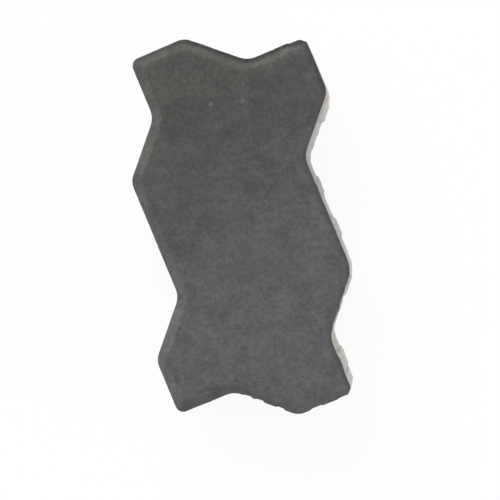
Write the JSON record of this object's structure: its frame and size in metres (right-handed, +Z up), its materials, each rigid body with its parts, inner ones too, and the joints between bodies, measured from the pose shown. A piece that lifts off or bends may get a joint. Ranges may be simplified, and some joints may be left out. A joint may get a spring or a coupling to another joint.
{
  "type": "interlocking concrete paving stone",
  "caption": "Zig-zag interlocking concrete paving stone with a bevelled dark walking face, paler walls and spacer ribs, laid in rows or herringbone.",
  "frame": {"origin": "middle of the bed face, which lies on the ground", "axes": "+Z up to the walking face, +Y along the stone, +X across it"},
  "size_m": [0.1274, 0.24, 0.06],
  "materials": {
    "concrete": "rough pressed concrete, charcoal walking face over a paler grey body"
  },
  "bodies": {
    "root": {"paving_stone": "concrete"}
  },
  "joints": []
}
